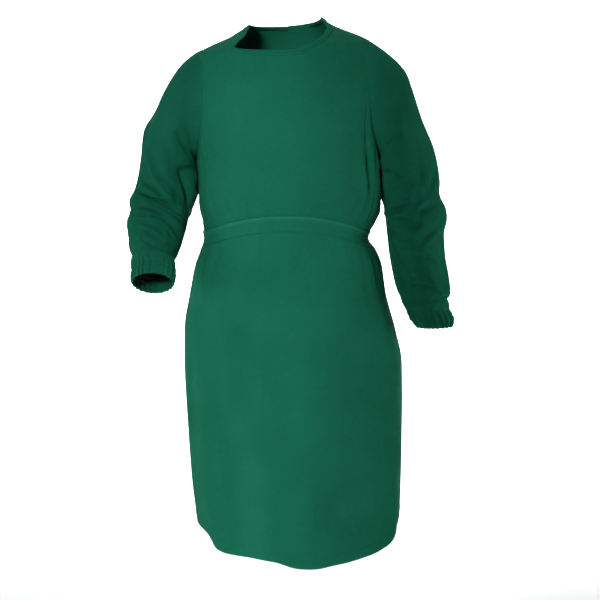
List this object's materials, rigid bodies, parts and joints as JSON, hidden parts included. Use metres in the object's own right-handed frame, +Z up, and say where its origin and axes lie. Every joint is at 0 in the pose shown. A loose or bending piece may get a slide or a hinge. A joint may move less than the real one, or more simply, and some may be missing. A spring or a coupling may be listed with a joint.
{
  "type": "surgical gown",
  "caption": "Long-sleeved surgical gown of green woven cotton, filled out as worn: bound neck, set-in sleeves, gathered cuffs, belt across the waist, lapped back tied at neck and waist.",
  "frame": {"origin": "midway between the two points where the shoulder seams meet the neck, where the wearer's shoulders hold the gown", "axes": "+X to the wearer's left, -Y the wearer's front, +Z up"},
  "size_m": [0.715, 0.3282, 1.1742],
  "materials": {
    "cloth": "plain-woven cotton, matt with a faint sheen",
    "tape": "bias-cut cotton tape, matt"
  },
  "bodies": {
    "root": {"front_panel": "cloth", "back_panel_left": "cloth", "back_panel_right": "cloth", "sleeve_left": "cloth", "sleeve_right": "cloth", "cuff_left": "cloth", "cuff_right": "cloth", "belt_front": "cloth", "belt_tie_left": "cloth", "belt_tie_right": "cloth", "belt_knot": "cloth", "belt_end_left": "cloth", "belt_end_right": "cloth", "neck_binding": "tape", "neck_tie_knot": "tape", "neck_tie_end_left": "tape", "neck_tie_end_right": "tape"}
  },
  "joints": []
}
